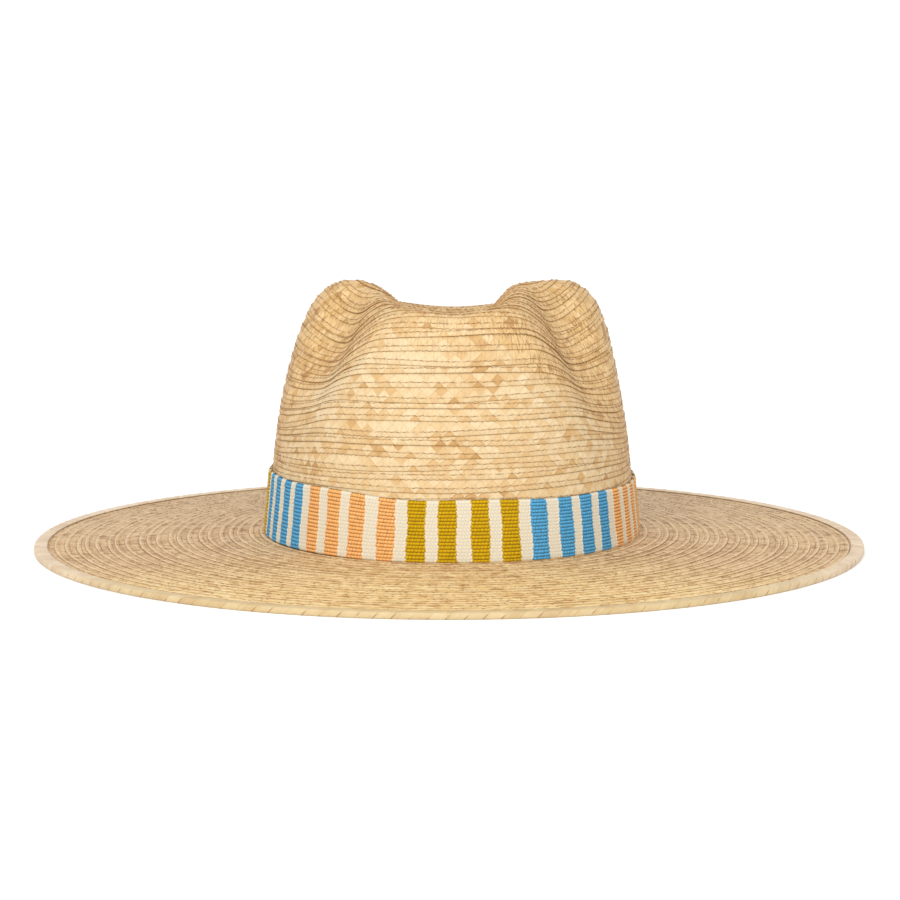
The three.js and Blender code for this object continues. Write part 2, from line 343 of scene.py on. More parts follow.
def section_value(degrees, name):
    """One column of the table at any direction: a cubic between rows whose slopes join smoothly."""
    column = SECTION_VALUES[:, SECTION_COLUMNS.index(name)]
    turns_over = name == "top"
    before = -column[1] if turns_over else column[1]
    after = 360.0 - column[-2] if turns_over else column[-2]
    feet = np.concatenate([[-SECTION_FEET[1]], SECTION_FEET, [360.0 - SECTION_FEET[-2]]])
    values = np.concatenate([[before], column, [after]])
    slopes = (values[2:] - values[:-2]) / (feet[2:] - feet[:-2])
    row = np.clip(np.searchsorted(SECTION_FEET, degrees, side="right") - 1, 0, len(column) - 2)
    span = SECTION_FEET[row + 1] - SECTION_FEET[row]
    share = (degrees - SECTION_FEET[row]) / span
    square, cube = share ** 2, share ** 3
    return ((2 * cube - 3 * square + 1) * column[row] + (cube - 2 * square + share) * span * slopes[row]
            + (3 * square - 2 * cube) * column[row + 1] + (cube - square) * span * slopes[row + 1])


def smooth_weights(guides, steps):
    """Weights of a uniform cubic B-spline through padded guide points: one row per point of the curve."""
    share = np.arange(steps) / steps
    bumps = np.stack([(1 - share) ** 3, 3 * share ** 3 - 6 * share ** 2 + 4,
                      -3 * share ** 3 + 3 * share ** 2 + 3 * share + 1, share ** 3], -1) / 6
    padded = np.zeros(((guides - 1) * steps + 1, guides + 2))
    for span in range(guides - 1):
        padded[span * steps:(span + 1) * steps, span:span + 4] = bumps
    padded[-1, guides] = 1.0
    weights = padded[:, 1:-1].copy()
    weights[:, 0] += 2 * padded[:, 0]
    weights[:, 1] -= padded[:, 0]
    weights[:, -1] += 2 * padded[:, -1]
    weights[:, -2] -= padded[:, -1]
    return weights


def crown_sections(degrees, steps=24):
    """Curves from the foot to the tip, one for each direction, as an array of directions by points."""
    side = np.where(degrees > 180.0, -1.0, 1.0)
    foot = np.where(degrees > 180.0, 360.0 - degrees, degrees)
    value = {name: section_value(foot, name) for name in SECTION_COLUMNS}
    away = np.clip(np.abs(foot - RIGHT_RIDGE_ANGLE) / RIGHT_RIDGE_SPREAD, 0.0, 1.0)
    right_ridge = (1 + np.cos(math.pi * away)) / 2 * (side > 0)
    value["ridge_reach"] -= RIGHT_RIDGE_IN * right_ridge
    value["ridge_height"] += RIGHT_RIDGE_RISE * right_ridge
    value["crease_height"] += RIGHT_CREASE_RISE * right_ridge

    def guide(direction, reach, height):
        flat = oval(direction, CROWN_HALF[0] * reach, CROWN_HALF[1] * reach, OVAL_POWER)
        return np.concatenate([flat, (CROWN_HEIGHT * height + 0 * reach)[:, None]], -1)

    top, tip = value["top"], np.array([0.0, CROWN_HALF[1] * TIP_BACK, CROWN_HEIGHT * TIP_HEIGHT])
    bend_reach, bend_height = value["bend_reach"], value["bend_height"]
    crease = guide(top, value["crease_reach"], value["crease_height"])
    near_tip = tip + (crease - tip) * np.array([TIP_FLAT, TIP_FLAT, 0.0])
    guides = np.stack([
        guide(foot, np.ones_like(foot), 0.0),
        guide(foot, (1 + bend_reach) / 2, bend_height / 2),
        guide(foot, bend_reach, bend_height),
        guide((foot + top) / 2, value["shoulder_reach"], value["shoulder_height"]),
        guide(top, value["ridge_reach"], value["ridge_height"]),
        crease, near_tip, tip + 0 * crease], 1)
    curves = np.einsum("pg,dgx->dpx", smooth_weights(guides.shape[1], steps), guides)
    curves[..., 0] *= side[:, None]
    curves[..., 0] += CROWN_LEAN * soft_step(2 * curves[..., 2] / CROWN_HEIGHT - 1)
    return curves + CROWN_FOOT


print("a section has", crown_sections(np.array([0.0])).shape[1], "points")

# %% [markdown]
# Rows on the surface. A plaited row keeps its width, so rows are placed by distance along the surface
# and not by height. Where the block pressed the pinches in, the rows were pushed down with it: in the
# picture they hang there like garlands. The row map below gives every direction its own share of that
# sag, and a little waviness, because no sewer keeps every row the same width.

# %% Row map and surface grids
CROWN_ROWS = 37
GRID_TURNS, GRID_SHARES = 720, 900
SAG, SIDE_SAG = 8.6 * MM, 9.5 * MM
PINCH_DIRECTION = 48.0
PINCH_AHEAD, PINCH_WIDENING, PINCH_BEHIND = 17.0, 9.0, 40.0
CHECK_ROW = 300


def distances(points):
    """Distance from the start of a path, or of each of many paths side by side, to its points."""
    steps = np.linalg.norm(np.diff(points, axis=0), axis=-1)
    return np.concatenate([0 * steps[:1], np.cumsum(steps, 0)])


def read_along(curves, lengths, wanted):
    """Points of many curves at wanted lengths: laid end to end, so that one call reads them all."""
    offset = np.arange(len(curves))[:, None] * (2.0 * lengths.max())
    known, asked = (lengths + offset).ravel(), (wanted + offset).ravel()
    parts = [np.interp(asked, known, curves[..., axis].ravel()) for axis in range(3)]
    return np.stack(parts, -1).reshape(wanted.shape + (3,))


def surface_normals(points):
    """Unit normals of a grid whose first axis runs once round: cross product of its two directions."""
    ring = np.concatenate([points[-2:-1], points, points[1:2]])
    normals = np.cross(ring[2:] - ring[:-2], np.gradient(points, axis=1))
    return normals / (np.linalg.norm(normals, axis=-1, keepdims=True) + 1e-12)


def crown_grid():
    """Grid of the crown's outer surface: turn 0 to 1 by row share 0 at the foot to 1 at the tip.

    hang is the garland round each pinch and droop the sag beside it; both grow with the share."""
    turn = np.linspace(0.0, 1.0, GRID_TURNS + 1)
    share = np.linspace(0.0, 1.0, GRID_SHARES + 1)
    curves = crown_sections(turn * 360.0)
    lengths = distances(curves.swapaxes(0, 1)).T
    total = lengths[:, -1:]
    off_front = np.minimum(turn, 1.0 - turn) * 360.0
    off_pinch = off_front[:, None] - PINCH_DIRECTION
    ahead = PINCH_AHEAD + PINCH_WIDENING * np.clip((share - 0.36) / 0.22, 0.0, 1.0)
    reach = np.where(off_pinch < 0, ahead, PINCH_BEHIND)
    hang = 0.5 + 0.5 * np.cos(math.pi * np.clip(np.abs(off_pinch) / reach, 0.0, 1.0))
    pressed = soft_step((share - 0.32) / 0.30) * soft_step((1.0 - share) / 0.32)
    beside = soft_step((off_front[:, None] - 35.0) / 45.0)
    droop = beside * soft_step((share - 0.12) / 0.26) * soft_step((1.0 - share) / 0.30)
    wanted = share * total.mean() + (total - total.mean()) * share ** 3
    wanted = wanted - SAG * hang * pressed - SIDE_SAG * droop
    points = read_along(curves, lengths, wanted)
    return points, surface_normals(points)


crown_points, crown_normals = crown_grid()
from_foot = crown_points[:, CHECK_ROW] - CROWN_FOOT
crown_normals *= np.sign((from_foot * crown_normals[:, CHECK_ROW]).sum(-1).mean())
crown_normals[:, -1] = (0.0, 0.0, 1.0)
print("crown grid", crown_points.shape, "top at", round(float(crown_points[..., 2].max()), 4))

# %% [markdown]
# The brim's surface is simpler: straight lines from the head opening to the edge, seen from above,
# with a small fall that flattens out towards the edge.

# %% Brim surface
BRIM_HALF = np.array([189.4, 197.0]) * MM
HEAD_HALF = np.array([82.9, 97.2]) * MM
BRIM_EDGE_TOP = 2.1 * MM
BRIM_FALL, BRIM_FALL_POWER = 6.5 * MM, 1.3
BRIM_SHARES = 300


def brim_grid():
    """Grid of the brim's top side: turn 0 to 1 by share 0 at the head opening to 1 at the edge."""
    turn = np.linspace(0.0, 1.0, GRID_TURNS + 1)
    share = np.linspace(0.0, 1.0, BRIM_SHARES + 1)
    hole = oval(turn * 360.0, *HEAD_HALF, OVAL_POWER) + CROWN_FOOT[:2]
    edge = oval(turn * 360.0, *BRIM_HALF, 2.0)
    flat = hole[:, None] * (1 - share)[:, None] + edge[:, None] * share[:, None]
    height = BRIM_EDGE_TOP + BRIM_FALL * (1 - share) ** BRIM_FALL_POWER + 0 * flat[..., 0]
    points = np.concatenate([flat, height[..., None]], -1)
    normals = surface_normals(points)
    return points, normals * np.sign(normals[..., 2:].mean())


brim_points, brim_normals = brim_grid()
print("brim grid", brim_points.shape)


def on_surface(grid, turn, share, height):
    """Point at (turn, share) of a grid, between its four neighbours, moved by height along the normal."""
    points, normals = grid
    column = (turn % 1.0) * (points.shape[0] - 1)
    row = np.clip(share, 0.0, 1.0) * (points.shape[1] - 1)
    left = np.floor(column).astype(int)
    low = np.minimum(np.floor(row).astype(int), points.shape[1] - 2)
    x, y = (column - left)[..., None], (row - low)[..., None]
    right = np.minimum(left + 1, points.shape[0] - 1)

    def read(field):
        lower = field[left, low] * (1 - x) + field[right, low] * x
        upper = field[left, low + 1] * (1 - x) + field[right, low + 1] * x
        return lower * (1 - y) + upper * y

    return read(points) + read(normals) * np.asarray(height)[..., None]


# %% [markdown]
# The plait itself. A ribbon about 6 mm wide and under 1 mm thick is carried along a spiral. Its free
# edge stands proud and its other edge is tucked under the next row, like a roof tile, so every row
# ends in a real step with a real shadow. Displacing a plain dome would give soft waves instead. The
# mesh keeps its own map: u is the distance along the ribbon and v the distance across it, in metres,
# and the plait's pattern is drawn in those.

# %% Mesh helpers and the spiral ribbon
def put_mesh(name, points, quads, uv=None, caps=()):
    """Makes a smooth mesh object from a grid of points, its four-sided faces and extra end faces."""
    mesh = bpy.data.meshes.new(name)
    mesh.from_pydata(points.reshape(-1, 3).tolist(), [], quads.tolist() + [list(face) for face in caps])
    if uv is not None:
        layer = mesh.uv_layers.new(name="plait_map")
        corner = np.empty(len(mesh.loops), np.int32)
        mesh.loops.foreach_get("vertex_index", corner)
        layer.data.foreach_set("uv", uv.reshape(-1, 2)[corner].astype(np.float32).ravel())
    mesh.polygons.foreach_set("use_smooth", np.ones(len(mesh.polygons), bool))
    mesh.update()
    return show(name, mesh)


def strip_quads(stations, ring):
    """Faces between neighbouring rings of points along a path: each ring is a closed loop."""
    station, place = np.meshgrid(np.arange(stations - 1), np.arange(ring), indexing="ij")
    beside = (place + 1) % ring
    return np.stack([station * ring + place, station * ring + beside,
                     (station + 1) * ring + beside, (station + 1) * ring + place], -1).reshape(-1, 4)


ROW_OVERLAP = 0.25
SPIRAL_STEPS = 60000


class Spiral:
    """A ribbon's way round a surface: for any distance along it, the turn and the rows of both edges."""

    def __init__(self, grid, rows, sway):
        self.grid, self.rows, self.sway = grid, rows, sway
        self.fine = fine = np.linspace(-1.0, rows - 0.25, SPIRAL_STEPS)
        middle = self.share(fine, np.clip(fine + 0.5, 0, rows))
        self.length = distances(on_surface(grid, fine, middle, 0 * fine))

    def share(self, turn, row):
        """Row number to share of the surface, with rows that waver in width by sway of a row."""
        angle = 2 * math.pi * (turn % 1.0)
        waver = (0.45 * np.sin(2.1 * row) + 0.18 * np.sin(5.3 * row + 1.0)
                 + 0.30 * np.sin(2 * angle + 1.7 * row) + 0.22 * np.sin(5 * angle - 2.3 * row))
        ends = soft_step(row / 1.5) * soft_step((self.rows - row) / 1.5)
        return np.clip((row + self.sway * waver * ends) / self.rows, 0.0, 1.0)

    def at(self, distance):
        """Turn, share of the low edge, share of the high edge, and width, at distances along."""
        turn = np.interp(distance, self.length, self.fine)
        low = self.share(turn, np.clip(turn, 0.0, self.rows))
        high = self.share(turn, np.clip(turn + 1.0 + ROW_OVERLAP, 0.0, self.rows))
        ends = [on_surface(self.grid, turn, side, 0 * turn) for side in (low, high)]
        return turn, low, high, np.linalg.norm(ends[1] - ends[0], axis=-1)


def ribbon(name, spiral, tooth, tooth_length, section):
    """A closed strip carried along a spiral, two stations a tooth, so its free edge is a fine zigzag.

    section lists (share across, height) once round the strip; teeth come and go from row to row."""
    distance = np.arange(0.0, spiral.length[-1], tooth_length / 2)
    turn, low, high, width = spiral.at(distance)
    across, height = np.array(section).T
    zigzag = np.where(np.arange(len(distance)) % 2, 0.5, -0.5)
    strength = np.clip(0.35 + 0.8 * np.sin(2.6 * np.floor(turn) + 7.0 * turn), 0.0, 1.0)
    shift = (tooth * zigzag * strength / np.maximum(width, 1 * MM))[:, None] * (1 - across) ** 3
    place = low[:, None] + (high - low)[:, None] * (across + shift)
    points = on_surface(spiral.grid, turn[:, None] + 0 * across, place, height + 0 * place)
    uv = np.stack([distance[:, None] + 0 * across, across * width[:, None]], -1)
    stations, ring = place.shape
    caps = [range(ring)[::-1], range((stations - 1) * ring, stations * ring)]
    made = put_mesh(name, points, strip_quads(stations, ring), uv, caps)
    print(name, "is", round(float(spiral.length[-1]), 2), "m long,", len(made.data.polygons), "faces")
    return made


CROWN_SECTION = [(0.00, 0.44 * MM), (0.05, 0.64 * MM), (0.38, 0.44 * MM), (0.72, 0.22 * MM),
                 (1.00, -0.10 * MM), (1.00, -0.66 * MM), (0.00, -0.04 * MM)]
CROWN_SWAY, CROWN_TOOTH, CROWN_TOOTH_LENGTH = 0.34, 0.45 * MM, 2.7 * MM
crown_spiral = Spiral((crown_points, crown_normals), CROWN_ROWS, CROWN_SWAY)
crown_plait = ribbon("crown_plait", crown_spiral, CROWN_TOOTH, CROWN_TOOTH_LENGTH, CROWN_SECTION)

BRIM_ROWS = 23
BRIM_SECTION = [(0.00, 0.02 * MM), (0.04, 0.20 * MM), (0.38, 0.10 * MM), (0.72, -0.06 * MM),
                (1.00, -0.30 * MM), (1.00, -0.90 * MM), (0.00, -0.40 * MM)]
BRIM_SWAY, BRIM_TOOTH, BRIM_TOOTH_LENGTH = 0.24, 0.25 * MM, 3.3 * MM
brim_spiral = Spiral((brim_points[:, ::-1], brim_normals[:, ::-1]), BRIM_ROWS, BRIM_SWAY)
brim_plait = ribbon("brim_plait", brim_spiral, BRIM_TOOTH, BRIM_TOOTH_LENGTH, BRIM_SECTION)

# %% [markdown]
# The stitches. One thread runs along the ribbon, a little above its free edge, and holds it to the row
# below. Each stitch is a short thread that rises out of the leaf and dives back into it, so it is drawn
# as a small bridge with a few faces: thousands of them have to stay light. The thread sinks in, and the
# material paints shade into the leaf beside it, where it dips.

# %% Stitches along both spirals
STITCH_PITCH, STITCH_LENGTH = 2.8 * MM, 1.9 * MM
STITCH_LINE = 2.3 * MM
SHIFT_ALONG, SHIFT_ACROSS, CHANGE_OF_LENGTH = 0.25 * MM, 0.15 * MM, 0.35
SLANT, CHANGE_OF_SLANT = 0.45, 0.35
STITCH_RISE = np.array([-0.10, 0.16, -0.10]) * MM
STITCH_TAPER = np.array([0.7, 1.0, 0.7])[None, :, None]
NARROWEST = 3.2 * MM


def stitches(name, spiral, section, radius, dropped, seed):
    """Small four-sided threads along a ribbon: each a bridge of three rings between two sunk ends.

    dropped is the share of stitches that sank out of sight between the leaves. The five rows of
    chance move a stitch along and across, turn it, change its length, and drop it."""
    distance = np.arange(STITCH_PITCH, spiral.length[-1] - STITCH_PITCH, STITCH_PITCH)
    chance = np.random.default_rng(seed)
    jitter = chance.uniform(-1.0, 1.0, (5, len(distance)))
    distance = distance + SHIFT_ALONG * jitter[0]
    profile = np.array(section[:5])
    stations = np.array([-0.5, 0.0, 0.5])
    along = distance[:, None] + stations * STITCH_LENGTH * (1 + CHANGE_OF_LENGTH * jitter[3][:, None])
    turn, low, high, width = spiral.at(along)
    slant = np.where(np.arange(len(distance)) % 2, SLANT, -SLANT) + CHANGE_OF_SLANT * jitter[2]
    line = STITCH_LINE + SHIFT_ACROSS * jitter[1][:, None] + stations * MM * slant[:, None]
    keep = (width > NARROWEST).all(1) & (jitter[4] > 2 * dropped - 1)
    width = np.maximum(width, 1 * MM)
    across = line / width
    height = (np.interp(across, profile[:, 0], profile[:, 1]) + STITCH_RISE)[..., None]
    corner = np.radians([45.0, 135.0, 225.0, 315.0])
    side, up = np.cos(corner) * radius, np.sin(corner) * radius
    place = across[..., None] + side * STITCH_TAPER / width[..., None]
    share = low[..., None] + (high - low)[..., None] * place
    points = on_surface(spiral.grid, turn[..., None] + 0 * place, share, height + up * STITCH_TAPER)[keep]
    one = np.concatenate([strip_quads(3, 4), [[3, 2, 1, 0], [8, 9, 10, 11]]])
    start = (np.arange(len(points)) * points[0, ..., 0].size)[:, None, None]
    made = put_mesh(name, points, (one + start).reshape(-1, 4))
    print(name, "has", len(points), "stitches")
    return made


crown_stitches = stitches("crown_stitches", crown_spiral, CROWN_SECTION, radius=0.17 * MM,
                          dropped=0.12, seed=3)
brim_stitches = stitches("brim_stitches", brim_spiral, BRIM_SECTION, radius=0.13 * MM,
                         dropped=0.62, seed=5)

# %% [markdown]
# The binding. A folded strip of pale palm closes the brim's edge, wound so that each lap starts on the
# one before. It could be one long twisted strip, but only its outside shows, so it is a C-shaped section
# carried round the edge. A small saw-tooth along the edge, slanted across the strip, raises each lap
# over the next. The flat underside stays flat, because the hat rests on it.

# %% Binding round the edge
LAP_PITCH = 7.5 * MM
LAP_RISE, LAP_SLANT, LAP_STEP = 0.20 * MM, -1.9, 0.06
BINDING_STEPS = 1500
BINDING_SECTION = np.array([
    (-5.0, 0.0), (-2.5, 0.0), (0.2, 0.0), (0.6, 0.15), (0.8, 0.5), (0.85, 1.45), (0.8, 2.4), (0.6, 2.7),
    (0.1, 2.9), (-1.3, 2.95), (-2.9, 3.0), (-4.4, 3.0), (-5.0, 2.9), (-5.1, 2.7), (-5.0, 2.45),
    (-2.5, 2.42), (0.1, 2.4), (0.2, 1.5), (0.1, 0.55), (-2.5, 0.55), (-5.0, 0.55)]) * MM
CORNERS = np.arange(len(BINDING_SECTION))
RAISED_OUT, RAISED_UP = (CORNERS >= 3) & (CORNERS <= 8), (CORNERS >= 4) & (CORNERS <= 12)
ROUND_STRIP = distances(BINDING_SECTION)
OUTSIDE_LENGTH = ROUND_STRIP[12]


def binding():
    """C-shaped section carried round the brim's edge, raised by a slanted saw-tooth of laps."""
    turn = np.linspace(0.0, 1.0, BINDING_STEPS, endpoint=False)
    edge = oval(turn * 360.0, *BRIM_HALF, 2.0)
    outward = edge / BRIM_HALF ** 2
    outward /= np.linalg.norm(outward, axis=-1, keepdims=True)
    length = distances(np.concatenate([edge, edge[:1]]))
    laps = round(length[-1] / LAP_PITCH)
    passed = length[:-1, None] / length[-1] * laps
    saw = (passed + ROUND_STRIP / OUTSIDE_LENGTH * LAP_SLANT) % 1.0
    lift = LAP_RISE * (1 - saw) * soft_step(saw / LAP_STEP) - LAP_RISE / 2
    reach, height = BINDING_SECTION.T
    flat = edge[:, None] + outward[:, None] * (reach + RAISED_OUT * lift)[..., None]
    points = np.concatenate([flat, (height + RAISED_UP * lift)[..., None]], -1)
    stations, ring = saw.shape
    faces = strip_quads(stations + 1, ring) % (stations * ring)
    uv = np.stack([passed * LAP_PITCH + 0 * reach, ROUND_STRIP + 0 * saw], -1)
    made = put_mesh("edge_strip", points, faces[:, ::-1], uv)
    print("binding", round(float(length[-1]), 3), "m round,", laps, "laps")
    return made


edge_strip = binding()

# %% [markdown]
# The band. A narrow cotton webbing with groups of four stripes: blue, peach and mustard on cream. On
# the real band the coloured yarn runs across the stripe and back, pass over pass, so every stripe is a
# ladder of fat ribs with rounded, slightly uneven ends, while the cream ground is flat and fine. The
# ribs are modelled, because they catch the light: a bump alone would leave the band's outline smooth.
# The band's own map says where the weaver's pattern is: the stripes stand a little closer round the
# temples, and in front they lean inwards at the top, because the band is pulled tight round a crown that
# narrows. In the picture its upper edge rises a little on the wearer's right. The band goes once round,
# and its end lies over its beginning at the back, sewn down.

# %% Band geometry
# The drift, wander, tip and slim values shape the edge of a stripe; a turn is a wave's pace.
BAND_FOOT, BAND_HEIGHT = 8.4 * MM, 27.0 * MM
STRIPE_PITCH, STRIPE_WIDTH, STRIPE_START = 13.85 * MM, 7.9 * MM, -15.6 * MM
STRIPE_DRIFT, DRIFT_TURN = 0.35 * MM, 4.1
EDGE_SLIM = 0.2 * MM
SLOW_WANDER, SLOW_TURN, SLOW_STEP = 0.22 * MM, 300.0, 2.1
RIB_WANDER, RIB_TURN, RIB_STEP = 0.20 * MM, 2.4, 1.9
RIB_PITCH, RIB_TIP = 1.5 * MM, 0.52 * MM
RIB_FLOOR, RIB_RISE = 0.08 * MM, 0.34 * MM
BAND_IN, BAND_OUT = 0.50 * MM, 1.75 * MM
BAND_LAP, LAP_THICKNESS, LAP_START = 14.0 * MM, 1.5 * MM, 4 * MM
CROWDING_RIGHT, CROWDING_LEFT = 15.0 * MM, 8.0 * MM
LEAN, LEAN_REACH = 1.4, 0.12
FOOT_LIFT, TOP_LIFT = 0.4 * MM, 3.6 * MM
SIDE_SHRINK = 0.05
BAND_STAND, BAND_WOBBLE, WOBBLE_TURN = 0.25 * MM, 0.25 * MM, 95.0
BAND_STEP, BAND_ROWS, INNER_EVERY = 0.9 * MM, 72, 12
BAND_SLACK, EDGE_ROUNDING, EDGE_SHARE = 1.02, 0.5 * MM, 18
LEVEL_OF_BAND, WALL_POINTS, TURN_STEPS = 8, 70, 4000


def pattern_place(along, rows):
    """Distance along in the weaver's pattern: plus a soft step round the temples and a lean by height."""
    crowding = np.where(along < 0, CROWDING_RIGHT, CROWDING_LEFT)
    crowding = crowding * soft_step((np.abs(along) - 35 * MM) / (130 * MM))
    place = along + np.sign(along) * crowding
    fade = 1.0 - soft_step((np.abs(along) - 0.13) / 0.10)
    pull = LEAN * (fade * np.clip(place, -LEAN_REACH, LEAN_REACH))
    lean = pull[:, None] * (rows - BAND_HEIGHT / 2)
    return place[:, None] + lean


def stripe_edge(place, height):
    """Distance into a coloured stripe, in metres, below 0 on the cream; every rib ends in a round tip.

    Half a stripe's width, plus a slow wave, a change from rib to rib and the tip's bow."""
    rib = np.floor(height / RIB_PITCH)
    number = np.floor((place - STRIPE_START) / STRIPE_PITCH + 0.5)
    middle = STRIPE_START + number * STRIPE_PITCH + STRIPE_DRIFT * np.sin(DRIFT_TURN * number)
    slow = SLOW_WANDER * np.sin(SLOW_TURN * height + SLOW_STEP * number)
    quick = RIB_WANDER * np.sin(RIB_TURN * rib + RIB_STEP * number)
    tips = RIB_TIP * np.abs(np.sin(math.pi * height / RIB_PITCH))
    return STRIPE_WIDTH / 2 - EDGE_SLIM + (slow + quick) + tips - np.abs(place - middle)


def band_level(degrees, share):
    """Height of the band's rows: a little lower at the sides, and pulled up on the wearer's right."""
    low_at_sides = BAND_HEIGHT * (1.0 - SIDE_SHRINK * np.sin(np.radians(degrees)) ** 2)
    foot = FOOT_LIFT * soft_step((-degrees - 12.0) / 35.0) * soft_step((88.0 + degrees) / 35.0)
    lift = TOP_LIFT * soft_step((-degrees - 8.0) / 40.0) * soft_step((150.0 + degrees) / 75.0)
    top = low_at_sides + lift
    return BAND_FOOT + foot + (top - foot) * share


def band():
    """Closed strip round the crown: outer side with ribs, inner side plain, both ends closed."""
    turn = np.linspace(-0.5, 0.5, TURN_STEPS + 1)
    length = distances(crown_sections((turn % 1.0) * 360.0)[:, LEVEL_OF_BAND, :2])
    length = (length - length[-1] / 2) * BAND_SLACK
    half = length[-1]
    along = np.arange(-half - BAND_LAP / 2, half + BAND_LAP / 2, BAND_STEP)
    where = np.interp((along + half) % (2 * half) - half, length, turn)
    columns = crown_sections((where % 1.0) * 360.0)[:, :WALL_POINTS]
    rows = np.linspace(0.0, BAND_HEIGHT, BAND_ROWS + 1)
    share = rows / BAND_HEIGHT
    level = band_level(where[:, None] * 360.0, share)
    base = np.stack([np.stack([np.interp(heights, column[:, 2], column[:, axis]) for axis in (0, 1)], -1)
                     for column, heights in zip(columns, level)])
    tangent = np.gradient(base, axis=0)
    tangent[(along + half) < 0] = tangent[np.argmin(np.abs(along + half - 2 * MM))]
    sideways = np.stack([tangent[..., 1], -tangent[..., 0]], -1)
    sideways /= np.linalg.norm(sideways, axis=-1, keepdims=True) + 1e-12
    stand = BAND_STAND * share ** 2
    over = soft_step((along - half + BAND_LAP / 2 + LAP_START) / LAP_START)[:, None] * LAP_THICKNESS
    place = pattern_place(along, rows)
    ribs = np.abs(np.sin(math.pi * rows / RIB_PITCH)) ** 0.7
    relief = soft_step(stripe_edge(place, rows) / (0.5 * MM)) * (RIB_FLOOR + RIB_RISE * ribs)
    to_edge = np.minimum(share, 1 - share)
    edges = np.clip(1 - to_edge * EDGE_SHARE, 0, 1) ** 2
    level = level + BAND_WOBBLE * np.sin(along * WOBBLE_TURN)[:, None] * share ** 3

    def side(stand_off, step):
        flat = (base + sideways * stand_off[..., None])[:, ::step]
        return np.concatenate([flat, level[:, ::step, None]], -1)

    outer = side(BAND_OUT + stand + over + relief - EDGE_ROUNDING * edges, 1)
    inner = side(BAND_IN + stand + over, INNER_EVERY)[:, ::-1]
    points = np.concatenate([outer, inner], 1)
    stations, ring = points.shape[:2]
    there_and_back = np.concatenate([np.arange(BAND_ROWS + 1), np.arange(BAND_ROWS + 1)[::-INNER_EVERY]])
    uv = np.stack([place, rows + 0 * place], -1)[:, there_and_back]
    caps = [range(ring), range((stations - 1) * ring, stations * ring)[::-1]]
    made = put_mesh("striped_band", points, strip_quads(stations, ring)[:, ::-1], uv, caps)
    print("band", round(float(2 * half), 3), "m round,", len(made.data.polygons), "faces")
    return made


striped_band = band()

# %% [markdown]
# The plait's pattern. Strips of palm leaf cross at right angles and slant across the ribbon, over one
# and under one. In ribbon coordinates the two sets of strips are the bands where along + across and
# along - across stay within one strip's width, and a chessboard rule says which set is on top. Each
# strip has its own leaf colour, fine fibres run along it, and it dips where it goes under. Two more
# groups draw the fibres alone and the pucker beside the stitches, so that each material can use them
# with its own values. A woven picture of leaf would do too, but it would blur close by and repeat.

# %% Shader groups for leaf fibres, strands and stitches
FIBRE_SCALES = (90.0, 2600.0, 40.0)
LEAF_WIDTH = 5.6 * MM
SECOND_SET = 5000.5


def fibre_group():
    """Fine streaks along the first direction: noise squeezed across the leaf and drawn out along it."""
    names = ("Lengthwise", "Crosswise", "Leaf")
    tree, pen, given, result = new_group("leaf_fibres", dict.fromkeys(names, 0.0), ["Streak"])
    stretched = [pen.times(given[name], scale) for name, scale in zip(names, FIBRE_SCALES)]
    pen.feed(result["Streak"], pen.noise(pen.vector(*stretched), 1.0, 3.0, 0.7))
    return tree


def strand_group(fibres):
    """Crossing strips: leaf number, shade, gap lines, fibres and height, from distances in metres."""
    tree, pen, given, result = new_group(
        "palm_strands", {"Along": 0.0, "Across": 0.0, "Strand": LEAF_WIDTH, "Seed": 0.0},
        ["Leaf", "Cell", "Gap", "Streak", "Height"])
    strand, seed = given["Strand"], given["Seed"]
    x, y = pen.divided(given["Along"], strand), pen.divided(given["Across"], strand)
    falling, rising = pen.plus(x, y), pen.minus(x, y)
    first, second = pen.whole(falling), pen.whole(rising)
    board = pen.reckon("FLOORED_MODULO", pen.plus(first, second), 2.0)
    on_top = pen.reckon("GREATER_THAN", board, 0.5)
    leaf = pen.random(pen.choose(on_top, first, pen.plus(second, SECOND_SET)), seed)
    crosswise = pen.choose(on_top, pen.rest(falling), pen.rest(rising))
    lengthwise = pen.choose(on_top, pen.rest(rising), pen.rest(falling))
    to_side = pen.to_end(crosswise)
    end_dip = pen.ramp(pen.to_end(lengthwise), 0.0, 0.22, 1.0, 0.0)
    streak = pen.group(fibres, Leaf=leaf,
                       Lengthwise=pen.times(pen.choose(on_top, rising, falling), strand),
                       Crosswise=pen.times(pen.choose(on_top, falling, rising), strand))["Streak"]
    height = pen.minus(pen.ramp(to_side, 0.0, 0.16), pen.times(end_dip, 0.55))
    results = {"Leaf": leaf, "Cell": pen.random(first, second, seed), "Streak": streak,
               "Gap": pen.ramp(to_side, 0.0, 0.07, 1.0, 0.0),
               "Height": pen.plus(height, pen.times(streak, 0.25))}
    for name, value in results.items():
        pen.feed(result[name], value)
    return tree


def stitch_group():
    """Pucker of a stitched line: low along the line, with painted shade in the dip, most of all where the
    thread dives.

    Edge is the dark line at the ribbon's free edge, Rim wide, partly the leaf's tan edge and partly
    painted shade; Lip is a painted highlight on the leaf just above it."""
    tree, pen, given, result = new_group(
        "stitch_pucker",
        {"Along": 0.0, "Across": 0.0, "Pitch": STITCH_PITCH, "Line": STITCH_LINE, "Rim": 0.34 * MM},
        ["Pucker", "Edge", "Highlight"])
    across = given["Across"]
    to_stitch = pen.to_end(pen.rest(pen.divided(given["Along"], given["Pitch"])))
    off_line = pen.size(pen.minus(across, given["Line"]))
    on_line = pen.ramp(off_line, 0.10 * MM, 0.50 * MM, 1.0, 0.0)
    pen.feed(result["Pucker"], pen.times(on_line, pen.ramp(to_stitch, 0.18, 0.40, 0.25, 1.0)))
    pen.feed(result["Edge"], pen.ramp(across, 0.05 * MM, given["Rim"], 1.0, 0.0))
    highlight_end = pen.ramp(across, 0.6 * MM, 1.4 * MM, 1.0, 0.0)
    pen.feed(result["Highlight"], pen.times(pen.ramp(across, 0.2 * MM, 0.5 * MM), highlight_end))
    return tree


